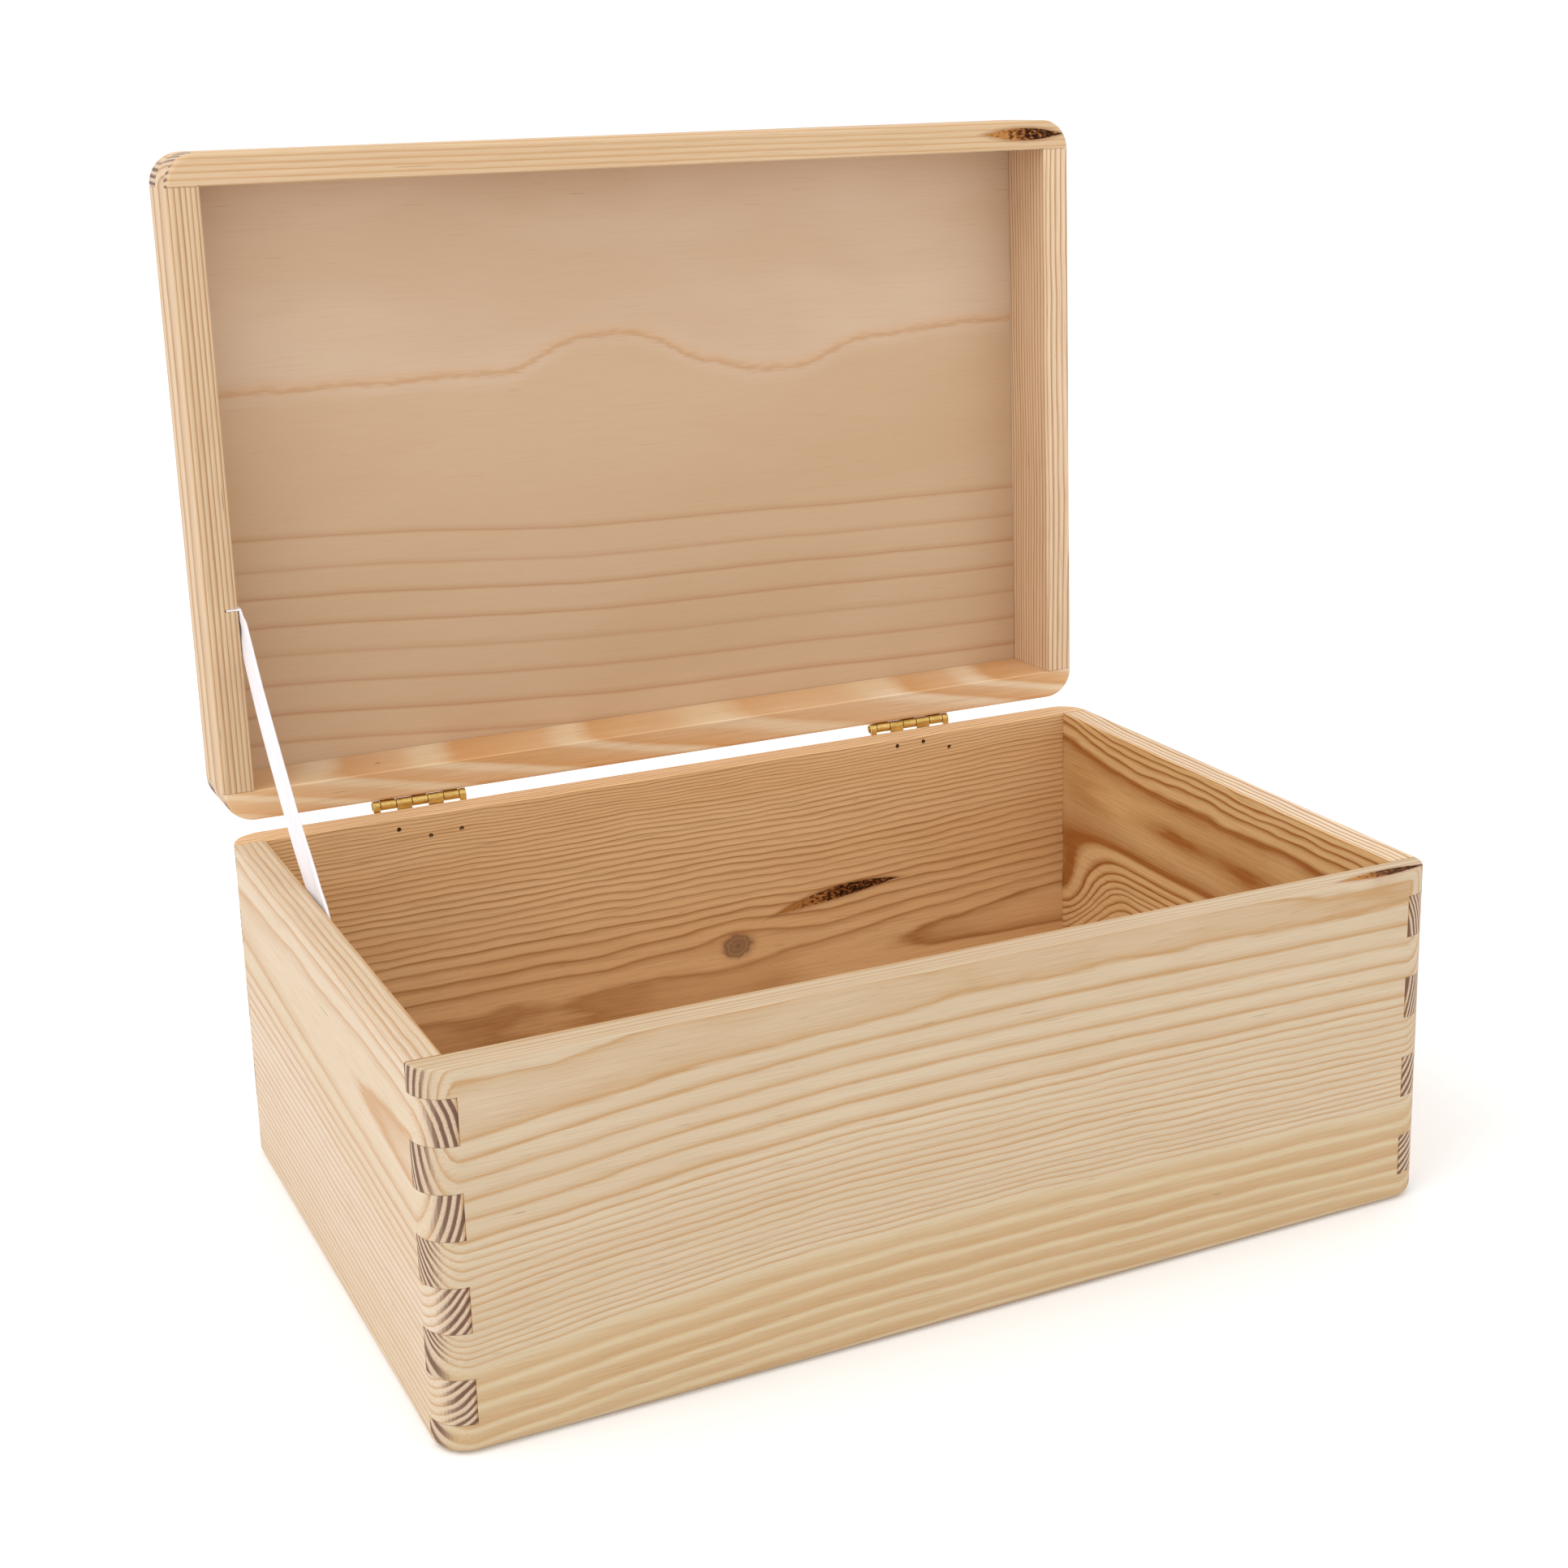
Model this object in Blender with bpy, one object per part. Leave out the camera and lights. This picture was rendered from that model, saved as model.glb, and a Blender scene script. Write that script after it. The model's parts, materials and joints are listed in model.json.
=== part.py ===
"""Small wooden toy box with a hinged lid, shown with the lid open against its ribbon stay.

Pine boards are finger-jointed at the corners, a plywood panel closes the underside and another
the lid. Two small brass hinges are nailed to the outside of the back. Metres, +Z up, +Y to the
back; the origin is the centre of the underside. The lid is modelled where it closes, relative to
the hinge axis, and its pivot empty turns it open.
"""

from math import cos, pi, radians, sin

import bmesh
import bpy
from mathutils import Matrix, Vector

MM = 0.001

# Outside sizes of the box.
LENGTH = 300 * MM
DEPTH = 200 * MM
BASE_HEIGHT = 102.6 * MM
LID_HEIGHT = 27.3 * MM
BOARD = 9.5 * MM
PLYWOOD = 3.2 * MM
CORNER_RADIUS = 9.5 * MM
FACE_ROUNDING = 3.0 * MM
RIM_EASING = 0.5 * MM
LID_RIM_ROUNDING = 1.3 * MM

# Finger joints: one pitch runs up the whole corner, from the first cut below the rim.
FINGER = 12.4 * MM
RIM_TO_FIRST_CUT = 7.5 * MM
LID_SLIVER = 2.8 * MM
GLUE_LINE = 0.1 * MM

# Panels sit in a rebate with round corners, flush with the boards' outer edges.
REBATE = 4.5 * MM
REBATE_RADIUS = 5.0 * MM
PANEL_GAP = 0.2 * MM

# Hinges.
OPEN_ANGLE = radians(91.2)
AXIS_BEHIND_BACK = 1.75 * MM
AXIS_ABOVE_RIM = 1.55 * MM
CLOSED_GAP = 0.4 * MM
HINGE_CENTRES_X = {"left": -89.4 * MM, "right": 84.8 * MM}
HINGE_LENGTH = 30.0 * MM
LEAF_REACH = 10.5 * MM
LEAF_THICKNESS = 0.6 * MM
LEAF_CORNER = 1.5 * MM
KNUCKLE = 5.1 * MM
KNUCKLE_COUNT = 7
KNUCKLE_RADIUS = 1.6 * MM
KNUCKLE_PLAY = 0.3 * MM
SLOT_DEPTH = 2.6 * MM
ROLL_ANGLE = radians(295)
PIN_RADIUS = 0.95 * MM

# Hinge nails, three to a leaf, driven by hand at slightly different angles.
NAIL_ROW = 6.2 * MM
NAIL_SPACING = 10.0 * MM
NAIL_RADIUS = 0.6 * MM
NAIL_HEAD_RADIUS = 1.4 * MM
NAIL_HEAD_HEIGHT = 0.5 * MM
NAIL_POINT = 1.2 * MM
NAIL_CLEARANCE = 0.15 * MM
NAIL_PROUD = 0.3 * MM
NAIL_SHORT = -1.2 * MM
# For each leaf, each nail's drift towards the rim on its way through the board, and how far
# its point stands out of the inner face.
NAIL_DRIVES = {
    ("left", "base"): [(1.2 * MM, NAIL_PROUD), (-2.5 * MM, NAIL_PROUD), (-1.7 * MM, NAIL_PROUD)],
    ("right", "base"): [(2.4 * MM, NAIL_PROUD), (2.6 * MM, NAIL_PROUD), (-0.9 * MM, NAIL_PROUD)],
    ("left", "lid"): [(-3.1 * MM, NAIL_PROUD), (0.4 * MM, NAIL_SHORT), (-0.5 * MM, NAIL_SHORT)],
    ("right", "lid"): [(-0.6 * MM, NAIL_SHORT), (0.7 * MM, NAIL_SHORT), (0.2 * MM, NAIL_SHORT)],
}

# Ribbon lid stay: glued into a saw kerf in the lid's left rail, stapled inside the base.
RIBBON_WIDTH = 13.0 * MM
RIBBON_THICKNESS = 0.5 * MM
RIBBON_TUCK = 3.6 * MM
RIBBON_INSET = 0.1 * MM
RIBBON_STANDOFF = 0.3 * MM
KERF_Y = 34.0 * MM
KERF_WIDTH = 0.8 * MM
KERF_CLEARANCE = 0.3 * MM
STAPLE_BELOW_RIM = 12.0 * MM
RIBBON_CROSSES_RIM_Y = 30.4 * MM
RIBBON_TAIL = 5.0 * MM
STAPLE_CROWN = 8.0 * MM
STAPLE_LEG = 5.5 * MM
STAPLE_WIRE_RADIUS = 0.35 * MM

CORNER_STEPS = 14
ROUNDING_STEPS = 5
EASING_STEPS = 2
BARREL_STEPS = 20
NAIL_STEPS = 10
TOOL_OVERSHOOT = 1.0 * MM

HALF_LENGTH = LENGTH / 2
HALF_DEPTH = DEPTH / 2
INNER_X = HALF_LENGTH - BOARD
INNER_Y = HALF_DEPTH - BOARD
HINGE_AXIS = Vector((0, HALF_DEPTH + AXIS_BEHIND_BACK, BASE_HEIGHT + AXIS_ABOVE_RIM))
LID_CUT_Z = BASE_HEIGHT + CLOSED_GAP
LID_TOP_Z = LID_CUT_Z + LID_HEIGHT


def clear_scene():
    for obj in list(bpy.data.objects):
        bpy.data.objects.remove(obj, do_unlink=True)


def make_material(name, colour, roughness, metallic=0.0):
    material = bpy.data.materials.new(name)
    material.use_nodes = True
    shader = material.node_tree.nodes["Principled BSDF"]
    shader.inputs["Base Color"].default_value = (*colour, 1.0)
    shader.inputs["Roughness"].default_value = roughness
    shader.inputs["Metallic"].default_value = metallic
    return material


def closed_mesh(name, points, faces):
    """A mesh from points and faces, with every face turned outwards and round parts smooth."""
    shape = bmesh.new()
    verts = [shape.verts.new(point) for point in points]
    for face in faces:
        shape.faces.new([verts[i] for i in face])
    bmesh.ops.recalc_face_normals(shape, faces=shape.faces)
    mesh = bpy.data.meshes.new(name)
    shape.to_mesh(mesh)
    shape.free()
    mesh.shade_smooth()
    mesh.set_sharp_from_angle(angle=radians(35))
    return mesh


def loft(name, rings):
    """Closed solid through rings that all have the same number of points."""
    count = len(rings[0])
    points = [point for ring in rings for point in ring]
    faces = [list(range(count))[::-1], list(range(len(points) - count, len(points)))]
    for level in range(len(rings) - 1):
        low, high = level * count, (level + 1) * count
        for i in range(count):
            j = (i + 1) % count
            faces.append([low + i, low + j, high + j, high + i])
    return closed_mesh(name, points, faces)


def prism(name, outline, axis, low, high):
    """An outline of (a, b) pairs pushed along X, Y or Z; a and b are the other two axes in order."""

    def at(level):
        placed = {"X": lambda a, b: (level, a, b), "Y": lambda a, b: (a, level, b),
                  "Z": lambda a, b: (a, b, level)}[axis]
        return [placed(a, b) for a, b in outline]

    return loft(name, [at(low), at(high)])


def turned(name, profile, steps):
    """Solid of revolution about Z from (radius, z) pairs; the first and last lie on the axis."""
    points = [(0, 0, profile[0][1]), (0, 0, profile[-1][1])]
    rings = profile[1:-1]
    for radius, z in rings:
        for i in range(steps):
            turn = 2 * pi * i / steps
            points.append((radius * cos(turn), radius * sin(turn), z))
    last = 2 + (len(rings) - 1) * steps
    faces = []
    for i in range(steps):
        j = (i + 1) % steps
        faces.append([0, 2 + i, 2 + j])
        faces.append([1, last + j, last + i])
        for ring in range(len(rings) - 1):
            low = 2 + ring * steps
            faces.append([low + i, low + j, low + steps + j, low + steps + i])
    return closed_mesh(name, points, faces)


def rounded_rectangle(half_x, half_y, radius, steps=CORNER_STEPS):
    corners = [(1, 1, 0), (-1, 1, pi / 2), (-1, -1, pi), (1, -1, 3 * pi / 2)]
    outline = []
    for side_x, side_y, start in corners:
        for i in range(steps + 1):
            turn = start + pi / 2 * i / steps
            outline.append((side_x * (half_x - radius) + radius * cos(turn),
                            side_y * (half_y - radius) + radius * sin(turn)))
    return outline


def add(name, mesh, material=None, origin=(0, 0, 0), parent=None, rotation=None):
    """Places a mesh that is drawn in box coordinates, or about its own origin if it is rotated."""
    origin = Vector(origin)
    if rotation is None:
        mesh.transform(Matrix.Translation(-origin))
    obj = bpy.data.objects.new(name, mesh)
    bpy.context.scene.collection.objects.link(obj)
    if material is None:
        obj.hide_render = True
        obj.display_type = "WIRE"
    else:
        mesh.materials.append(material)
    obj.location = origin
    if parent is not None:
        obj.parent = parent
        obj.location = origin - HINGE_AXIS
    if rotation is not None:
        obj.rotation_mode = "QUATERNION"
        obj.rotation_quaternion = rotation
    return obj


def combine(target, tool, operation="DIFFERENCE"):
    modifier = target.modifiers.new(tool.name, "BOOLEAN")
    modifier.operation = operation
    modifier.object = tool
    modifier.solver = "EXACT"


def envelope(name, low, high, bottom_radius, top_radius, bottom_steps, top_steps, parent=None):
    """The box's outside form: round vertical corners, and its two faces' edges rounded over."""
    levels = rounding(low, bottom_radius, bottom_steps, 1) + rounding(high, top_radius, top_steps, -1)
    rings = []
    for z, inset in levels:
        outline = rounded_rectangle(HALF_LENGTH - inset, HALF_DEPTH - inset, CORNER_RADIUS - inset)
        rings.append([(x, y, z) for x, y in outline])
    return add(name, loft(name, rings), parent=parent)


def rounding(face_z, radius, steps, inwards):
    """Levels (z, inset) of a rounded edge; inwards is +1 above a lower face, -1 below an upper one."""
    turns = [pi / 2 * i / steps for i in range(steps + 1)]
    levels = [(face_z + inwards * radius * (1 - cos(t)), radius * (1 - sin(t))) for t in turns]
    return sorted(levels)


def comb_outline(half, socket, cuts, first_is_own, low, high):
    """Outline of a board with fingers at both ends, as (along, z) pairs.

    cuts are the heights where fingers change hands; a finger reaches half, a socket stops at socket.
    """
    side = []
    own = first_is_own
    z = low - TOOL_OVERSHOOT
    for cut_z in [*cuts, high + TOOL_OVERSHOOT]:
        reach = half + TOOL_OVERSHOOT if own else socket
        last = cut_z > high
        top = cut_z if last else cut_z + (-1 if own else 1) * GLUE_LINE / 2
        side += [(reach, z), (reach, top)]
        z = top
        own = not own
    return side + [(-along, z) for along, z in reversed(side)]


def add_board(name, along_x, side, outline, material, tools, parent=None, centre_z=0.0):
    """One board of the base or the lid: a comb cut to the box's outside and its tools."""
    face = (HALF_DEPTH if along_x else HALF_LENGTH) + TOOL_OVERSHOOT
    inner = INNER_Y if along_x else INNER_X
    low, high = (inner, face) if side > 0 else (-face, -inner)
    mesh = prism(name, outline, "Y" if along_x else "X", low, high)
    middle = side * (inner + BOARD / 2)
    origin = (0, middle, centre_z) if along_x else (middle, 0, centre_z)
    board = add(name, mesh, material, origin, parent)
    for tool, operation in tools:
        combine(board, tool, operation)
    return board


def add_frame(prefix, names, cuts, long_first, low, high, materials, tools, parent=None):
    """The four boards of the base or of the lid, finger-jointed to each other."""
    boards = {}
    middle = (low + high) / 2
    for along_x, half, socket, own in ((True, HALF_LENGTH, INNER_X - GLUE_LINE, long_first),
                                       (False, HALF_DEPTH, INNER_Y - GLUE_LINE, not long_first)):
        outline = comb_outline(half, socket, cuts, own, low, high)
        for side in (-1, 1):
            key = names[(along_x, side)]
            boards[key] = add_board(f"{prefix}_{key}", along_x, side, outline, materials[key],
                                    tools, parent, middle)
    return boards


def rim_chamfer(name, rim_z, upwards, parent=None):
    """Tool that breaks the inner edge of a rim: a shallow pyramid that widens past the rim."""
    rings = []
    for inset, step in ((-RIM_EASING / 4, -RIM_EASING), (RIM_EASING * 7 / 4, RIM_EASING)):
        outline = [(sx * (INNER_X + inset), sy * (INNER_Y + inset))
                   for sx, sy in ((1, 1), (-1, 1), (-1, -1), (1, -1))]
        rings.append([(x, y, rim_z + upwards * step) for x, y in outline])
    return add(name, loft(name, rings), parent=parent)


def add_panel(name, outer_z, inwards, material, parent=None):
    """A plywood panel flush with outer_z, and the tool for the rebate that it sits in."""
    half_x = INNER_X + REBATE
    half_y = INNER_Y + REBATE
    rebate = rounded_rectangle(half_x, half_y, REBATE_RADIUS, ROUNDING_STEPS)
    depth = inwards * (PLYWOOD + PANEL_GAP)
    levels = sorted((outer_z - inwards * TOOL_OVERSHOOT, outer_z + depth))
    tool = add(f"{name}_rebate", prism(f"{name}_rebate", rebate, "Z", *levels), parent=parent)
    outline = rounded_rectangle(half_x - PANEL_GAP, half_y - PANEL_GAP, REBATE_RADIUS - PANEL_GAP,
                                ROUNDING_STEPS)
    faces = sorted((outer_z, outer_z + inwards * PLYWOOD))
    mesh = prism(name, outline, "Z", *faces)
    add(name, mesh, material, (0, 0, sum(faces) / 2), parent)
    return tool


def leaf_section(sign):
    """Rolled section of a hinge leaf as (y, z) about the pin: a plate with its end curled round.

    sign is +1 for the base leaf, whose plate hangs below the pin, and -1 for the lid leaf.
    """
    inner_radius = KNUCKLE_RADIUS - LEAF_THICKNESS
    plate_end = -LEAF_REACH - TOOL_OVERSHOOT
    turns = [pi - ROLL_ANGLE * i / BARREL_STEPS for i in range(BARREL_STEPS + 1)]
    outer = [(KNUCKLE_RADIUS * cos(t), KNUCKLE_RADIUS * sin(t)) for t in turns]
    inner = [(inner_radius * cos(t), inner_radius * sin(t)) for t in reversed(turns)]
    section = [(-KNUCKLE_RADIUS, plate_end), *outer, *inner, (-inner_radius, plate_end)]
    return [(y, sign * z) for y, z in section]


def leaf_comb(sign, own_parity):
    """Outline of a leaf in (x, z): rounded free corners, and a tab for each of its own knuckles."""
    half = HINGE_LENGTH / 2
    end_knuckle = (HINGE_LENGTH - (KNUCKLE_COUNT - 2) * KNUCKLE) / 2
    bounds = [-half] + [-half + end_knuckle + i * KNUCKLE for i in range(KNUCKLE_COUNT - 1)] + [half]
    top = KNUCKLE_RADIUS + TOOL_OVERSHOOT
    outline = []
    for i in range(KNUCKLE_COUNT):
        low = bounds[i] + (KNUCKLE_PLAY / 2 if i else 0)
        high = bounds[i + 1] - (KNUCKLE_PLAY / 2 if i < KNUCKLE_COUNT - 1 else 0)
        if i % 2 == own_parity:
            outline += [(low, -SLOT_DEPTH), (low, top), (high, top), (high, -SLOT_DEPTH)]
    if own_parity == 0:
        outline = outline[1:-1]
    else:
        outline = [(-half, -SLOT_DEPTH), *outline, (half, -SLOT_DEPTH)]
    for side, turns in ((1, (0, pi / 2)), (-1, (pi / 2, pi))):
        for i in range(ROUNDING_STEPS + 1):
            turn = turns[0] + (turns[1] - turns[0]) * i / ROUNDING_STEPS
            outline.append((side * (half - LEAF_CORNER) + LEAF_CORNER * cos(turn),
                            -LEAF_REACH + LEAF_CORNER - LEAF_CORNER * sin(turn)))
    return [(x, sign * z) for x, z in outline]


def nail_mesh(name, length, radius_gap=0.0):
    """A round-headed nail along -Z from its head's seat; radius_gap makes it a hole for one."""
    if radius_gap:
        radius = NAIL_RADIUS + radius_gap
        profile = [(0, TOOL_OVERSHOOT), (radius, TOOL_OVERSHOOT), (radius, -length - radius_gap),
                   (0, -length - radius_gap)]
        return turned(name, profile, NAIL_STEPS)
    profile = [
        (0, NAIL_HEAD_HEIGHT),
        (NAIL_HEAD_RADIUS * 0.55, NAIL_HEAD_HEIGHT * 0.9),
        (NAIL_HEAD_RADIUS * 0.9, NAIL_HEAD_HEIGHT * 0.5),
        (NAIL_HEAD_RADIUS, 0),
        (NAIL_RADIUS, 0),
        (NAIL_RADIUS, NAIL_POINT - length),
        (0, -length),
    ]
    return turned(name, profile, NAIL_STEPS)


def add_nails(side, body, centre_x, leaf, board, material, parent=None):
    """The three nails of one leaf, and their holes through the leaf and into the board."""
    away = -1 if body == "base" else 1
    leaf_y = HINGE_AXIS.y - KNUCKLE_RADIUS + LEAF_THICKNESS + NAIL_CLEARANCE
    for i, (drift, proud) in enumerate(NAIL_DRIVES[(side, body)]):
        tilt = abs(drift) / (leaf_y - INNER_Y)
        seat = Vector((centre_x + (i - 1) * NAIL_SPACING, leaf_y + NAIL_HEAD_RADIUS * tilt,
                       HINGE_AXIS.z + away * NAIL_ROW))
        point = Vector((seat.x, INNER_Y - proud, seat.z - away * drift))
        path = point - seat
        turn = Vector((0, 0, -1)).rotation_difference(path)
        name = f"{side}_hinge_{body}_nail_{i + 1}"
        add(name, nail_mesh(name, path.length), material, seat, parent, turn)
        hole = add(f"{name}_hole", nail_mesh(f"{name}_hole", path.length, NAIL_CLEARANCE), None,
                   seat, parent, turn)
        combine(leaf, hole)
        combine(board, hole)


def add_hinge(side, boards, materials, lid_pivot):
    centre_x = HINGE_CENTRES_X[side]
    centre = Vector((centre_x, HINGE_AXIS.y, HINGE_AXIS.z))
    half = HINGE_LENGTH / 2
    for body, sign, parity, parent in (("base", 1, 0, None), ("lid", -1, 1, lid_pivot)):
        name = f"{side}_hinge_{body}_leaf"
        section = prism(name, leaf_section(sign), "X", -half - TOOL_OVERSHOOT, half + TOOL_OVERSHOOT)
        comb = prism(f"{name}_comb", leaf_comb(sign, parity), "Y", -TOOL_OVERSHOOT * 2,
                     TOOL_OVERSHOOT * 2)
        for mesh in (section, comb):
            mesh.transform(Matrix.Translation(centre))
        leaf = add(name, section, materials["brass"], centre, parent)
        combine(leaf, add(f"{name}_comb", comb, None, centre, parent), "INTERSECT")
        add_nails(side, body, centre_x, leaf, boards[body], materials["nail"], parent)
    along_x = Matrix.Rotation(pi / 2, 4, "Y").to_quaternion()
    dome = PIN_RADIUS * 0.5
    profile = [(0, half + dome / 2), (PIN_RADIUS * 0.6, half + dome / 3), (PIN_RADIUS, half - dome),
               (PIN_RADIUS, dome - half), (PIN_RADIUS * 0.6, -half - dome / 3), (0, -half - dome / 2)]
    name = f"{side}_hinge_pin"
    add(name, turned(name, profile, NAIL_STEPS), materials["pin"], centre, None, along_x)


def opened(y, z):
    """Where a point (y, z) of the closed lid stands when the lid is open."""
    back, up = y - HINGE_AXIS.y, z - HINGE_AXIS.z
    return (HINGE_AXIS.y + back * cos(OPEN_ANGLE) + up * sin(OPEN_ANGLE),
            HINGE_AXIS.z - back * sin(OPEN_ANGLE) + up * cos(OPEN_ANGLE))


def cut_ribbon_kerf(lid_rail, lid_pivot):
    """Saw kerf across the rim of the lid's left rail, open to its inner face."""
    end_x = -INNER_X - RIBBON_TUCK - KERF_CLEARANCE
    mouth_x = -INNER_X + TOOL_OVERSHOOT
    front, back = KERF_Y - KERF_WIDTH / 2, KERF_Y + KERF_WIDTH / 2
    kerf = [(end_x, front), (mouth_x, front), (mouth_x, back), (end_x, back)]
    bottom = LID_CUT_Z + RIBBON_INSET + RIBBON_WIDTH + KERF_CLEARANCE
    tool = add("ribbon_kerf", prism("ribbon_kerf", kerf, "Z", LID_CUT_Z - TOOL_OVERSHOOT, bottom),
               parent=lid_pivot)
    combine(lid_rail, tool)


def ribbon_line():
    """Where the open lid's ribbon runs, in (y, z): its staple, its direction up, and across it."""
    middle = Vector(opened(KERF_Y, LID_CUT_Z + RIBBON_INSET + RIBBON_WIDTH / 2))
    rim_crossing = Vector((RIBBON_CROSSES_RIM_Y, BASE_HEIGHT))
    along = (middle - rim_crossing).normalized()
    staple = rim_crossing - along * (STAPLE_BELOW_RIM / along.y)
    return staple, along, Vector((-along.y, along.x))


def add_ribbon(material):
    """A flat strip from the staple to the kerf, and its end that turns into the kerf."""
    near = LID_CUT_Z + RIBBON_INSET
    deep = near + RIBBON_WIDTH
    inner = -INNER_X + RIBBON_STANDOFF
    outer = inner + RIBBON_THICKNESS
    front, back = KERF_Y - RIBBON_THICKNESS / 2, KERF_Y + RIBBON_THICKNESS / 2
    staple, along, across = ribbon_line()
    end = staple - along * RIBBON_TAIL
    half_width = across * RIBBON_WIDTH / 2
    strip = [tuple(end + half_width), opened(front, near), opened(front, deep),
             tuple(end - half_width)]
    ribbon = add("lid_stay_ribbon", prism("lid_stay_ribbon", strip, "X", inner, outer), material,
                 (inner, staple.x, staple.y))
    tuck = [opened(front, near), opened(front, deep), opened(back, deep), opened(back, near)]
    tab = prism("ribbon_tuck", tuck, "X", -INNER_X - RIBBON_TUCK, outer)
    combine(ribbon, add("ribbon_tuck", tab), "UNION")
    return ribbon


def staple_wire(across):
    """Centre line of the staple from one point to the other, about the middle of its crown."""
    bend = STAPLE_WIRE_RADIUS * 2
    half_crown = STAPLE_CROWN / 2
    route = [(-STAPLE_LEG, half_crown), (-bend, half_crown),
             (-bend * 0.3, half_crown - bend * 0.3), (0, half_crown - bend)]
    route = [(depth, -offset) for depth, offset in route] + route[::-1]
    return [(depth, across.x * offset, across.y * offset) for depth, offset in route]


def add_staple(ribbon, base_board, material):
    """The staple through the ribbon, and its two holes in the base's left board."""
    staple, _, across = ribbon_line()
    crown_x = -INNER_X + 2 * RIBBON_STANDOFF + RIBBON_THICKNESS + STAPLE_WIRE_RADIUS
    wire = bpy.data.curves.new("ribbon_staple", "CURVE")
    wire.dimensions = "3D"
    wire.bevel_depth = STAPLE_WIRE_RADIUS
    wire.bevel_resolution = 1
    wire.use_fill_caps = True
    spline = wire.splines.new("POLY")
    route = staple_wire(across)
    spline.points.add(len(route) - 1)
    for point, place in zip(spline.points, route):
        point.co = (*place, 1)
    wire.materials.append(material)
    staple_object = bpy.data.objects.new("ribbon_staple", wire)
    bpy.context.scene.collection.objects.link(staple_object)
    staple_object.location = (crown_x, staple.x, staple.y)
    into_wood = Matrix.Rotation(pi / 2, 4, "Y").to_quaternion()
    for side in (-1, 1):
        leg = staple + across * side * STAPLE_CROWN / 2
        hole = nail_mesh(f"staple_hole_{side}", STAPLE_LEG, NAIL_CLEARANCE)
        tool = add(f"staple_hole_{side}", hole, None, (crown_x, leg.x, leg.y), None, into_wood)
        combine(ribbon, tool)
        combine(base_board, tool)


def add_base(materials):
    cuts = [BASE_HEIGHT - RIM_TO_FIRST_CUT - i * FINGER for i in range(8)]
    cuts = sorted(z for z in cuts if z > 0)
    outside = envelope("base_outside", 0, BASE_HEIGHT, FACE_ROUNDING, RIM_EASING, ROUNDING_STEPS,
                       EASING_STEPS)
    rebate = add_panel("base_bottom_panel", 0, 1, materials["plywood"])
    tools = [(outside, "INTERSECT"), (rebate, "DIFFERENCE"),
             (rim_chamfer("base_rim_chamfer", BASE_HEIGHT, 1), "DIFFERENCE")]
    names = {(True, -1): "front_board", (True, 1): "back_board",
             (False, -1): "left_board", (False, 1): "right_board"}
    wood = {"front_board": materials["pine_pale"], "back_board": materials["pine_warm"],
            "left_board": materials["pine_pale"], "right_board": materials["pine_warm"]}
    return add_frame("base", names, cuts, True, 0, BASE_HEIGHT, wood, tools)


def add_lid(materials, lid_pivot):
    cuts = [LID_CUT_Z + LID_SLIVER, LID_CUT_Z + LID_SLIVER + FINGER]
    outside = envelope("lid_outside", LID_CUT_Z, LID_TOP_Z, LID_RIM_ROUNDING, FACE_ROUNDING,
                       ROUNDING_STEPS, ROUNDING_STEPS, lid_pivot)
    rebate = add_panel("lid_top_panel", LID_TOP_Z, -1, materials["plywood"], lid_pivot)
    tools = [(outside, "INTERSECT"), (rebate, "DIFFERENCE"),
             (rim_chamfer("lid_rim_chamfer", LID_CUT_Z, -1, lid_pivot), "DIFFERENCE")]
    names = {(True, -1): "front_rail", (True, 1): "rear_rail",
             (False, -1): "left_rail", (False, 1): "right_rail"}
    wood = {key: materials["pine_pale"] for key in names.values()}
    return add_frame("lid", names, cuts, True, LID_CUT_Z, LID_TOP_Z, wood, tools, lid_pivot)


def main():
    clear_scene()
    materials = {
        "pine_pale": make_material("pine_pale", (0.72, 0.52, 0.31), 0.55),
        "pine_warm": make_material("pine_warm", (0.58, 0.36, 0.18), 0.55),
        "plywood": make_material("plywood", (0.62, 0.42, 0.25), 0.6),
        "brass": make_material("brass", (0.62, 0.42, 0.14), 0.3, 1.0),
        "pin": make_material("pin", (0.55, 0.38, 0.14), 0.35, 1.0),
        "nail": make_material("nail", (0.6, 0.42, 0.16), 0.35, 1.0),
        "ribbon": make_material("ribbon", (0.85, 0.82, 0.84), 0.8),
        "staple": make_material("staple", (0.6, 0.6, 0.6), 0.3, 1.0),
    }
    lid_pivot = bpy.data.objects.new("lid_pivot", None)
    bpy.context.scene.collection.objects.link(lid_pivot)
    lid_pivot.location = HINGE_AXIS
    lid_pivot.rotation_euler = (-OPEN_ANGLE, 0, 0)
    base = add_base(materials)
    lid = add_lid(materials, lid_pivot)
    for side in HINGE_CENTRES_X:
        add_hinge(side, {"base": base["back_board"], "lid": lid["rear_rail"]}, materials, lid_pivot)
    cut_ribbon_kerf(lid["left_rail"], lid_pivot)
    ribbon = add_ribbon(materials["ribbon"])
    add_staple(ribbon, base["left_board"], materials["staple"])


main()
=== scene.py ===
"""Looks of the wooden toy box: pine boards, plywood panels, brass hinges and a ribbon stay.

Wood is procedural: each board is cut from its own log, whose rings run through its solid, so the
long grain on its faces and the end grain on its fingers belong together. Millimetres inside the
materials, metres elsewhere.
"""

import json
from math import cos, pi, radians, sin

import bpy
from mathutils import Matrix, Vector


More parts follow.
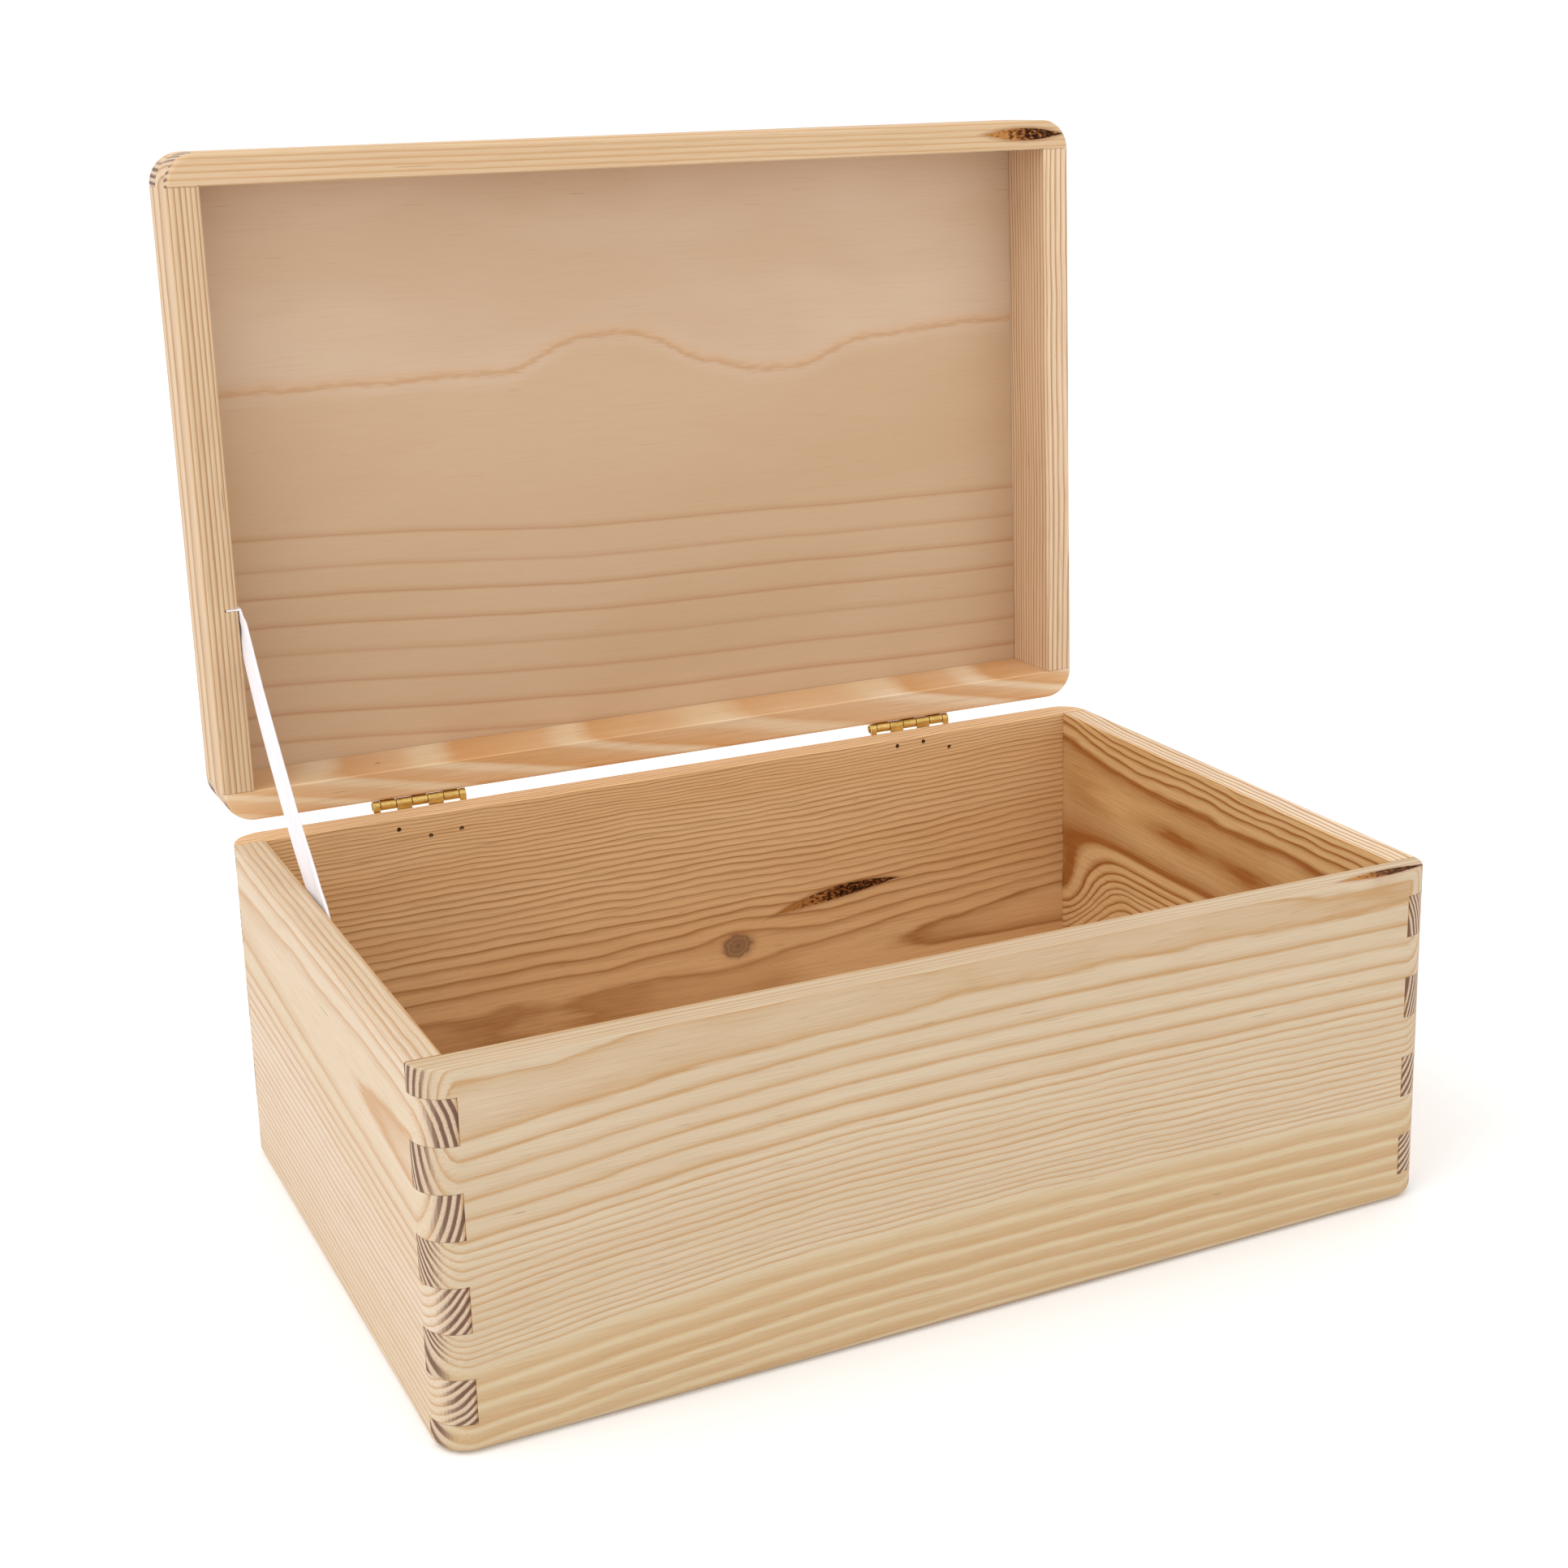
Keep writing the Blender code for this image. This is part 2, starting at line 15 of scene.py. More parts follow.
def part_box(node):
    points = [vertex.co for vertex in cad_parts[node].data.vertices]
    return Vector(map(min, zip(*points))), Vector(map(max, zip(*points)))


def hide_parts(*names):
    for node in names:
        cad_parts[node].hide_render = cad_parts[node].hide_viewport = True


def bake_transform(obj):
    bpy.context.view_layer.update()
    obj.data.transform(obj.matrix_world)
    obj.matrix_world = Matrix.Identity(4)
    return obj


MM = 0.001
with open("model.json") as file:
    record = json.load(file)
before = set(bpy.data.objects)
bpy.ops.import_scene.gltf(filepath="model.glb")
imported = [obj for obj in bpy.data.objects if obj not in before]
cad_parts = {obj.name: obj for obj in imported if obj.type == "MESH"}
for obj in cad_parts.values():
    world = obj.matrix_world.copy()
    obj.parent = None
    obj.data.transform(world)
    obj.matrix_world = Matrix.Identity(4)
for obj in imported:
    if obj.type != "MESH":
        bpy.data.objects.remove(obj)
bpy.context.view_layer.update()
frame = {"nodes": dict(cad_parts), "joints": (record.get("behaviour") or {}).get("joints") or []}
nodes = frame["nodes"]
joint = frame["joints"][0]
HINGE_AXIS = Vector(joint["pos_m"])
OPEN_ANGLE = radians(joint["range_deg"][1])
SMOOTH_ANGLE = radians(35)
WOOD_SPECULAR = 0.32
SEED_STEP_U, SEED_STEP_V = 7.31, 3.17


def srgb(red, green, blue):
    """A colour given as it looks on a screen, 0 to 255, as linear RGBA."""
    channels = []
    for value in (red, green, blue):
        value /= 255
        channels.append(value / 12.92 if value <= 0.04045 else ((value + 0.055) / 1.055) ** 2.4)
    return (*channels, 1.0)


class Graph:
    """Builds one material's nodes. A value is a socket, a number or a colour."""

    def __init__(self, name):
        self.material = bpy.data.materials.new(name)
        self.material.use_nodes = True
        self.tree = self.material.node_tree
        self.shader = self.tree.nodes["Principled BSDF"]

    def node(self, kind, inputs, output=0, **settings):
        made = self.tree.nodes.new(kind)
        for key, value in settings.items():
            setattr(made, key, value)
        for key, value in inputs.items():
            self.feed(made.inputs[key], value)
        return made.outputs[output]

    def feed(self, socket, value):
        if isinstance(value, bpy.types.NodeSocket):
            self.tree.links.new(value, socket)
        else:
            socket.default_value = value

    def math(self, operation, *values):
        return self.node("ShaderNodeMath", dict(enumerate(values)), operation=operation)

    def add(self, first, *others):
        for other in others:
            first = self.math("ADD", first, other)
        return first

    def mul(self, first, *others):
        for other in others:
            first = self.math("MULTIPLY", first, other)
        return first

    def sub(self, a, b):
        return self.math("SUBTRACT", a, b)

    def lerp(self, a, b, factor):
        return self.add(a, self.mul(self.sub(b, a), factor))

    def step(self, value, low, high):
        """0 below low, 1 above high, and smooth between them."""
        inputs = {"Value": value, "From Min": low, "From Max": high}
        return self.node("ShaderNodeMapRange", inputs, interpolation_type="SMOOTHSTEP")

    def climb(self, value, stops):
        """Straight lines through (value, level) stops, and level beyond the first and last."""
        total = stops[0][1]
        for (low, start), (high, end) in zip(stops, stops[1:]):
            inputs = {"Value": value, "From Min": low, "From Max": high, "To Max": end - start}
            total = self.add(total, self.node("ShaderNodeMapRange", inputs))
        return total

    def mix(self, factor, a, b, blend="MIX"):
        return self.node("ShaderNodeMix", {0: factor, 6: a, 7: b}, 2, data_type="RGBA",
                         blend_type=blend)

    def ramp(self, value, stops):
        """A grey value through (position, value) stops."""
        output = self.node("ShaderNodeValToRGB", {"Fac": value})
        elements = output.node.color_ramp.elements
        while len(elements) < len(stops):
            elements.new(0.5)
        for element, (position, level) in zip(elements, stops):
            element.position = position
            element.color = (level, level, level, 1)
        return output

    def join(self, x, y, z):
        return self.node("ShaderNodeCombineXYZ", {0: x, 1: y, 2: z})

    def noise(self, place, lengths, seed, detail=2.0, roughness=0.5):
        """Smooth noise, about 0 to 1, whose lumps have the given lengths along u, v and w."""
        scaled = [self.mul(p, 1 / length) for p, length in zip(place, lengths)]
        vector = self.join(self.add(scaled[0], seed * SEED_STEP_U),
                           self.add(scaled[1], seed * SEED_STEP_V), scaled[2])
        return self.node("ShaderNodeTexNoise", {"Vector": vector, "Scale": 1.0, "Detail": detail,
                                                "Roughness": roughness})

    def swing(self, place, lengths, seed, size, detail=2.0):
        """Noise that swings by about size to either side of 0."""
        return self.mul(self.sub(self.noise(place, lengths, seed, detail), 0.5), size * 3)

    def bell(self, value, centre, width, height=1.0):
        away = self.mul(self.sub(value, centre), 1 / width)
        return self.mul(self.math("EXPONENT", self.mul(away, away, -1)), height)

    def bump(self, height, distance, strength=1.0):
        normal = self.node("ShaderNodeBump", {"Height": height, "Distance": distance,
                                              "Strength": strength})
        self.feed(self.shader.inputs["Normal"], normal)

    def finish(self, colour, roughness):
        self.feed(self.shader.inputs["Base Color"], colour)
        self.feed(self.shader.inputs["Roughness"], roughness)
        return self.material


def place_on(graph, axes, on_lid):
    """(u along the grain, v across it, w through the board) in mm, and the end grain's share.

    A lid piece is read where it lies when the lid is closed, so it keeps its grain as it turns.
    """
    coordinates = graph.tree.nodes.new("ShaderNodeTexCoord")
    point, normal = coordinates.outputs["Object"], coordinates.outputs["Normal"]
    if on_lid:
        turn = Matrix.Rotation(OPEN_ANGLE, 3, "X")
        shift = HINGE_AXIS - turn @ HINGE_AXIS
        angles = (OPEN_ANGLE, 0, 0)
        point = graph.node("ShaderNodeMapping", {"Vector": point, "Location": shift,
                                                 "Rotation": angles})
        normal = graph.node("ShaderNodeMapping", {"Vector": normal, "Rotation": angles},
                            vector_type="VECTOR")
    split = graph.node("ShaderNodeSeparateXYZ", {0: point}).node.outputs
    place = tuple(graph.mul(split["XYZ".index(axis)], 1 / MM) for axis in axes)
    facing = graph.node("ShaderNodeSeparateXYZ", {0: normal}).node.outputs["XYZ".index(axes[0])]
    return place, graph.step(graph.math("ABSOLUTE", facing), 0.5, 0.93)


# How long the log's slow bends, its ripples and its rings' ragged edges are, in mm.
DRIFT_LENGTHS = (150, 75, 75)
WOBBLE_LENGTHS = (34, 14, 14)
RAGGED_LENGTHS = (16, 1.2, 1.2)
RAGGED_SIZE = 0.07
END_PALE, END_DARK = (208, 184, 156), (112, 80, 62)
RING_PROFILE = ((0.0, 0.4), (0.08, 0.05), (0.5, 0.05), (0.8, 0.5), (0.93, 1.0), (1.0, 0.4))
BROAD_PROFILE = ((0.0, 0.3), (0.1, 0.0), (0.24, 0.08), (0.4, 0.5), (0.9, 0.75), (1.0, 0.3))
END_PROFILE = ((0.0, 0.35), (0.08, 0.0), (0.4, 0.1), (0.6, 0.9), (0.9, 1.0), (1.0, 0.35))


def wood(name, axes, pith, rings, early, late, on_lid=False, tilt=(0, 0), bend=2.0, ripple=1.0,
         contrast=1.0, seed=1, tone=None, broad=None, zone=None, inside=None, warp=None, hills=(),
         paint=None, streak=0.1, jitter=0.3):
    """Sawn pine.

    pith is the log's middle as (v, w) in mm at u = 0, and tilt leans the log's axis against the
    board. rings is the ring count at a few radii. broad is (radius, width) where the rings' dark
    part grows broad, zone is (radius, width, colour) where the wood changes colour, and inside is
    (w, side, tint) for an inner face, with the board on that side of it, whose colour is
    multiplied towards tint as painted shade and warm bounce light from inside the box.
    hills are places (u, v, length, height, rings) where the count swells, for arches and patches.
    """
    graph = Graph(name)
    place, end = place_on(graph, axes, on_lid)
    u, v, w = place
    if warp:
        v = warp(graph, u, v)
    drift = graph.swing(place, DRIFT_LENGTHS, seed, bend)
    wobble = graph.swing(place, WOBBLE_LENGTHS, seed + 1, ripple)
    ragged = graph.swing(place, RAGGED_LENGTHS, seed + 2, RAGGED_SIZE)
    from_v = graph.sub(graph.add(v, drift, wobble), graph.add(graph.mul(u, tilt[0]), pith[0]))
    axis_w = graph.add(graph.mul(u, tilt[1]), pith[1])
    from_w = graph.sub(graph.add(w, graph.mul(wobble, 0.2)), axis_w)
    radius = graph.math("SQRT", graph.add(graph.mul(from_v, from_v), graph.mul(from_w, from_w)))
    count = graph.climb(graph.add(radius, ragged), rings)
    for hill_u, hill_v, length, height, rise in hills:
        along = graph.mul(graph.sub(u, hill_u), 1 / length)
        over = graph.mul(graph.sub(v, hill_v), 1 / height)
        away = graph.add(graph.mul(along, along), graph.mul(over, over))
        count = graph.add(count, graph.mul(graph.math("EXPONENT", graph.mul(away, -1)), rise))
    count = graph.add(count, graph.swing((count, 0.0, 0.0), (4, 1, 1), seed + 3, jitter), 20)
    phase = graph.math("FRACT", count)
    own = graph.node("ShaderNodeTexWhiteNoise", {"W": graph.add(graph.math("FLOOR", count), seed)},
                     noise_dimensions="1D")
    patch = graph.noise(place, (60, 10, 10), seed + 4)
    strength = graph.add(0.45, graph.mul(own, 0.35), graph.mul(patch, 0.5))
    profile = graph.ramp(phase, RING_PROFILE)
    if broad:
        reached = graph.step(radius, broad[0] - broad[1], broad[0] + broad[1])
        profile = graph.lerp(profile, graph.ramp(phase, BROAD_PROFILE), reached)
    band = graph.mul(profile, strength)
    darkness = graph.math("MINIMUM", graph.mul(band, contrast), 1.0)

    mellow = graph.noise(place, (220, 22, 22), seed + 5, 3.0)
    base = graph.mix(graph.step(mellow, 0.35, 0.65), srgb(*early), srgb(*(tone or early)))
    if zone:
        reached = graph.step(radius, zone[0] - zone[1], zone[0] + zone[1])
        base = graph.mix(graph.mul(reached, 0.85), base, srgb(*zone[2]))
    colour = graph.mix(darkness, base, srgb(*late))
    fibre = graph.noise(place, (22, 0.4, 0.4), seed + 6, 3.0, 0.65)
    colour = graph.mix(graph.mul(graph.step(fibre, 0.45, 0.75), streak * 3), colour,
                       srgb(*[c * 0.88 for c in late]))
    colour = graph.mix(graph.mul(graph.step(fibre, 0.5, 0.25), streak * 2), colour,
                       srgb(*[min(255, c * 1.05) for c in early]))
    for lengths, threshold, amount in (((7, 0.35, 0.35), 0.72, 0.35), ((24, 0.7, 0.7), 0.74, 0.5)):
        dash = graph.noise(place, lengths, seed + 7, 1.0)
        colour = graph.mix(graph.mul(graph.step(dash, threshold, threshold + 0.08), amount), colour,
                           srgb(*[c * 0.62 for c in late]))

    pore = graph.noise(place, (0.5, 0.5, 0.5), seed + 8, 2.0, 0.7)
    end_band = graph.mul(graph.ramp(phase, END_PROFILE), graph.add(0.3, strength))
    end_colour = graph.mix(graph.math("MINIMUM", end_band, 1.0), srgb(*END_PALE), srgb(*END_DARK))
    end_colour = graph.mix(graph.mul(graph.step(pore, 0.5, 0.75), 0.35), end_colour,
                           srgb(*[c * 0.75 for c in END_DARK]))
    colour = graph.mix(end, colour, end_colour)
    # Painted shade: the inner face is multiplied towards its tint, standing in for the shade and
    # warm bounce light inside the box.
    if inside:
        face, side, tint = inside
        inner_shade = graph.step(graph.mul(graph.sub(w, face), side), 1.0, 0.3)
        colour = graph.mix(inner_shade, colour, srgb(*tint), "MULTIPLY")
    rough = graph.add(0.56, graph.mul(darkness, -0.06), graph.mul(fibre, 0.12))
    height = graph.add(graph.mul(darkness, 0.03), graph.mul(fibre, -0.3),
                       graph.mul(graph.mul(end, pore), -0.9))
    graph.shader.inputs["Specular IOR Level"].default_value = WOOD_SPECULAR
    if paint:
        colour, rough, height = paint(graph, place, colour, rough, height)
    graph.bump(height, 0.12 * MM, 0.5)
    return graph.finish(colour, rough)


def lens(graph, u, v, centre, half_length, half_width, angle, seed, arch=0.0):
    """How deep (u, v) is in a pointed slit, over 0 inside it, and how far along it, -1 to 1."""
    du, dv = graph.sub(u, centre[0]), graph.sub(v, centre[1])
    along = graph.add(graph.mul(du, cos(angle)), graph.mul(dv, sin(angle)))
    along = graph.mul(along, 1 / half_length)
    across = graph.sub(graph.mul(dv, cos(angle)), graph.mul(du, sin(angle)))
    across = graph.add(across, graph.swing((u, v, 0.0), (3.5, 1.6, 1), seed, 0.2, 3.0))
    full = graph.sub(1.0, graph.mul(along, along))
    across = graph.sub(across, graph.mul(full, arch))
    return graph.sub(graph.mul(full, half_width), graph.math("ABSOLUTE", across)), along


def resin_pocket(graph, u, v, only, centre, half_length, half_width, angle, seed, look, arch=0.0):
    """A slit of dark resin with a brown margin. only limits it to one face of the board."""
    colour, rough, height = look
    depth, along = lens(graph, u, v, centre, half_length, half_width, angle, seed, arch)
    inside = graph.mul(graph.step(depth, -0.1, 0.35), only)
    margin = graph.mul(graph.step(depth, -1.3, 0.1), only)
    crumbs = graph.noise((u, v, 0.0), (1.6, 0.8, 1), seed + 9, 3.0, 0.7)
    crumbs = graph.add(crumbs, graph.mul(graph.step(along, 0.3, -0.9), 0.24))
    resin = graph.mix(graph.step(crumbs, 0.45, 0.6), srgb(40, 22, 12), srgb(128, 76, 38))
    resin = graph.mix(graph.step(crumbs, 0.58, 0.68), resin, srgb(182, 126, 70))
    colour = graph.mix(graph.mul(margin, 0.5), colour, srgb(150, 98, 56))
    colour = graph.mix(inside, colour, resin)
    rough = graph.lerp(rough, 0.7, inside)
    graph.feed(graph.shader.inputs["Specular IOR Level"],
               graph.lerp(WOOD_SPECULAR, 0.04, inside))
    height = graph.add(height, graph.mul(inside, -4.0), graph.mul(graph.mul(inside, crumbs), 2.0))
    return colour, rough, height


# Centre, half length, half width and angle of each resin pocket, in mm on its board.
BACK_SLIT = ((50.6, 50.2), 24.5, 2.3, radians(6.7))
BACK_SLIT_ARCH = 1.5
BACK_SLIT_SEED = 3
RIM_POCKET_U = 133
RIM_POCKET_SIZE = (15.5, 2.1, radians(1))
BACK_KNOT = (13.4, 39.3)
BACK_FACE_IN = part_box("base_back_board")[0].y / MM
LID_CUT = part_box("base_back_board")[1].z / MM + 0.4


def around_knot(graph, u, v):
    """The grain parts around the back board's knot."""
    du = graph.mul(graph.sub(u, BACK_KNOT[0]), 1 / 17)
    dv = graph.mul(graph.sub(v, BACK_KNOT[1]), 1 / 9)
    near = graph.math("EXPONENT", graph.mul(graph.add(graph.mul(du, du), graph.mul(dv, dv)), -1))
    return graph.sub(v, graph.mul(graph.mul(dv, 9), graph.mul(near, 0.75)))


def paint_back(graph, place, colour, rough, height):
    """A soft grey-brown knot, and a long resin slit to its upper right."""
    u, v, w = place
    inner = graph.step(w, BACK_FACE_IN + 3, BACK_FACE_IN + 1)
    du = graph.mul(graph.sub(u, BACK_KNOT[0]), 1 / 1.3)
    dv = graph.sub(v, BACK_KNOT[1])
    away = graph.math("SQRT", graph.add(graph.mul(du, du), graph.mul(dv, dv)))
    away = graph.add(away, graph.swing(place, (3, 3, 3), 31, 0.9))
    rings = graph.math("SINE", graph.mul(away, 4.0))
    knot = graph.mix(graph.step(rings, -1.0, 1.0), srgb(158, 122, 88), srgb(134, 102, 72))
    knot = graph.mix(graph.mul(graph.step(away, 2.2, 0.2), 0.6), knot, srgb(104, 76, 50))
    colour = graph.mix(graph.mul(graph.step(away, 7.0, 3.4), inner, 0.3), colour,
                       srgb(176, 124, 82))
    colour = graph.mix(graph.mul(graph.step(away, 5.2, 3.4), inner, 0.85), colour, knot)
    look = (colour, rough, height)
    return resin_pocket(graph, u, v, inner, *BACK_SLIT, BACK_SLIT_SEED, look, BACK_SLIT_ARCH)


def paint_rim_pocket(across, end_side, seed):
    """A resin pocket on a front rim near its right end, at the given distance across the rim."""

    def paint(graph, place, colour, rough, height):
        u, v, w = place
        only = graph.step(graph.mul(v, end_side), LID_CUT * end_side - 3, LID_CUT * end_side - 1)
        return resin_pocket(graph, u, w, only, (RIM_POCKET_U, across), *RIM_POCKET_SIZE, seed,
                            (colour, rough, height))

    return paint


def plywood(name, on_lid, features):
    """Peeled veneer: broad faint figure and fine streaks along X."""
    graph = Graph(name)
    place, _ = place_on(graph, "XYZ", on_lid)
    u, v, w = place
    cloud = graph.noise(place, (120, 45, 45), 41, 3.0)
    colour = graph.mix(graph.step(cloud, 0.35, 0.65), srgb(212, 185, 157), srgb(205, 175, 144))
    if features:
        colour = veneer_figure(graph, place, colour)
    else:
        shifted = graph.add(v, graph.swing(place, (110, 60, 60), 42, 7))
        bands = graph.math("FRACT", graph.mul(shifted, 1 / 8.5))
        colour = graph.mix(graph.mul(graph.ramp(bands, RING_PROFILE), 0.35), colour,
                           srgb(196, 148, 104))
    fibre = graph.noise(place, (20, 0.5, 0.5), 43, 3.0, 0.65)
    colour = graph.mix(graph.mul(graph.step(fibre, 0.45, 0.8), 0.22), colour, srgb(190, 148, 110))
    check = graph.noise(place, (14, 0.32, 1), 44, 1.0)
    colour = graph.mix(graph.mul(graph.step(check, 0.74, 0.8), 0.5), colour, srgb(160, 112, 76))
    rough = graph.add(0.55, graph.mul(fibre, 0.15))
    graph.bump(graph.mul(fibre, -1.0), 0.1 * MM, 0.4)
    graph.shader.inputs["Specular IOR Level"].default_value = WOOD_SPECULAR
    return graph.finish(colour, rough)


LINE_TURNS = ((-46, -16, -10), (-3, 25, 11), (20, 48, 5), (56, 86, -8.5), (88, 122, -2.5))


def veneer_figure(graph, place, colour):
    """The lid panel's one wandering ring line, and the few thin ones near its hinged side."""
    u, v, w = place
    line = -27.5
    for start, end, rise in LINE_TURNS:
        line = graph.add(line, graph.mul(graph.step(u, start, end), rise))
    line = graph.add(line, graph.swing(place, (26, 60, 30), 45, 1.1),
                     graph.swing(place, (5, 0.8, 30), 48, 1.2, 3.0))
    below = graph.sub(v, line)
    edge = graph.mul(graph.step(below, 1.0, 0.0), graph.step(below, -5.0, 0.3))
    colour = graph.mix(graph.mul(edge, 0.35), colour, srgb(208, 162, 114))
    colour = graph.mix(graph.bell(below, 0.1, 1.0, 0.45), colour, srgb(188, 138, 92))
    colour = graph.mix(graph.mul(graph.step(below, 0.0, 6.0), 0.5), colour, srgb(200, 166, 126))
    sunk = graph.add(graph.mul(graph.step(u, -150, 10), -8), graph.mul(graph.step(u, 0, 150), -2.5),
                     graph.swing(place, (60, 60, 30), 46, 0.9))
    bands = graph.mul(graph.add(v, sunk, -8.5), 1 / 9.4)
    bands = graph.add(bands, graph.swing((bands, 0.0, 0.0), (2.5, 1, 1), 47, 0.14))
    thin = graph.ramp(graph.math("FRACT", bands), ((0, 0.3), (0.06, 0), (0.72, 0.03), (0.9, 0.5),
                                                   (0.95, 1), (1, 0.3)))
    own = graph.node("ShaderNodeTexWhiteNoise", {"W": graph.math("FLOOR", bands)},
                     noise_dimensions="1D")
    shown = graph.mul(graph.step(bands, 0.4, 0.9), graph.add(0.5, graph.mul(own, 0.35)))
    return graph.mix(graph.mul(thin, shown, 0.75), colour, srgb(176, 122, 78))


def metal(name, colour, dark, rough, seed, scratch=0.12):
    """Worn metal: clouded between two colours, with hair scratches and small dark spots."""
    graph = Graph(name)
    place, _ = place_on(graph, "XZY", False)
    cloud = graph.noise(place, (4, 2.2, 2.2), seed, 4.0, 0.6)
    hair = graph.noise(place, (5, 0.12, 0.3), seed + 1, 2.0, 0.7)
    spots = graph.noise(place, (0.7, 0.7, 0.7), seed + 2, 2.0)
    tint = graph.mix(graph.step(cloud, 0.35, 0.7), srgb(*colour), srgb(*dark))
    tint = graph.mix(graph.mul(graph.step(spots, 0.64, 0.74), 0.5), tint,
                     srgb(*[c * 0.55 for c in dark]))
    graph.shader.inputs["Metallic"].default_value = 1.0
    graph.bump(graph.add(graph.mul(hair, scratch * 4), graph.mul(spots, 0.3)), 0.04 * MM, 0.5)
    return graph.finish(tint, graph.add(rough, graph.mul(hair, 0.16), graph.mul(cloud, 0.08)))


def tape(name):
    """White woven tape: fine weave, and a firmer edge on both sides. Its UVs are in mm."""
    graph = Graph(name)
    uv = graph.tree.nodes.new("ShaderNodeUVMap")
    uv.uv_map = "tape"
    split = graph.node("ShaderNodeSeparateXYZ", {0: uv.outputs[0]}).node.outputs
    across, along = split[0], split[1]
    warp_thread = graph.math("SINE", graph.mul(across, 2 * pi / 0.42))
    slant = graph.mul(across, 2.4)
    weft_thread = graph.math("SINE", graph.add(graph.mul(along, 2 * pi / 0.5), slant))
    weave = graph.mul(warp_thread, weft_thread)
    cloud = graph.noise((along, across, 0.0), (9, 4, 1), 71, 3.0)
    colour = graph.mix(graph.step(weave, -0.9, 0.9), srgb(226, 219, 223), srgb(250, 246, 249))
    colour = graph.mix(graph.mul(graph.step(cloud, 0.4, 0.7), 0.25), colour, srgb(214, 204, 208))
    edge = graph.step(graph.math("ABSOLUTE", across), 5.6, 6.2)
    colour = graph.mix(graph.mul(edge, 0.35), colour, srgb(255, 252, 254))
    graph.bump(graph.add(weave, graph.mul(edge, 1.5)), 0.05 * MM, 0.6)
    graph.shader.inputs["Sheen Weight"].default_value = 0.25
    return graph.finish(colour, graph.add(0.72, graph.mul(cloud, 0.12)))


def dress(names, material):
    """Gives CAD nodes a material and smooth shading over their round edges."""
    for name in names:
        mesh = nodes[name].data
        mesh.materials.clear()
        mesh.materials.append(material)
        mesh.shade_smooth()
        mesh.set_sharp_from_angle(angle=SMOOTH_ANGLE)


def front_flow(graph, u, v):
    """The front board's grain sinks towards the left end."""
    return graph.add(v, graph.bell(u, -190, 95, 11), graph.mul(graph.step(u, 20, 160), 1.4))


def right_flow(graph, u, v):
    """The right board's grain fans out at its back end."""
    fan = graph.mul(graph.step(u, 46, 96), graph.step(v, 70, 34), 26)
    return graph.add(v, fan, graph.mul(graph.step(u, 55, 95), graph.step(v, 66, 86), -5))


def back_flow(graph, u, v):
    """The back board's grain parts round its knot and rises a little to the right."""
    return graph.add(around_knot(graph, u, v), graph.mul(graph.step(u, 30, 160), -4))


